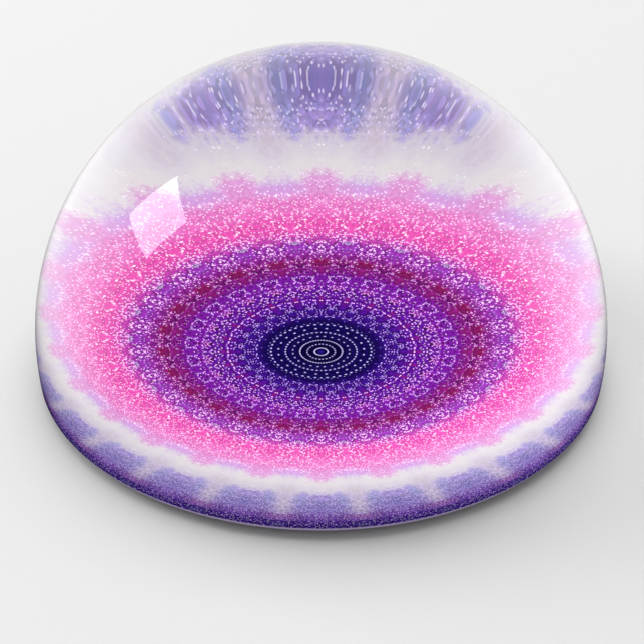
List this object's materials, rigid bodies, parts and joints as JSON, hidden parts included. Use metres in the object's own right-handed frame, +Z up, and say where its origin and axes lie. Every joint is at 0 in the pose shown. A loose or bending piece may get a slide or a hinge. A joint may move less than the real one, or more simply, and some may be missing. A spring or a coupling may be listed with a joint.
{
  "type": "paperweight",
  "caption": "Solid glass dome paperweight with a printed sheet laminated under its flat underside and a felt pad to rest on.",
  "frame": {"origin": "centre of the felt pad's underside, on the surface that the paperweight rests on", "axes": "+Z up through the crown of the dome, the axis that every piece is round about; X and Y are interchangeable"},
  "size_m": [0.0762, 0.0762, 0.0418],
  "materials": {
    "optical_glass": "polished, clear",
    "clear_adhesive": "clear",
    "printed_paper": "colour print on white coated paper",
    "pad_adhesive": "matt",
    "felt": "pressed felt"
  },
  "bodies": {
    "root": {"glass_dome": "optical_glass", "clear_adhesive": "clear_adhesive", "printed_sheet": "printed_paper", "pad_adhesive": "pad_adhesive", "felt_pad": "felt"}
  },
  "joints": []
}
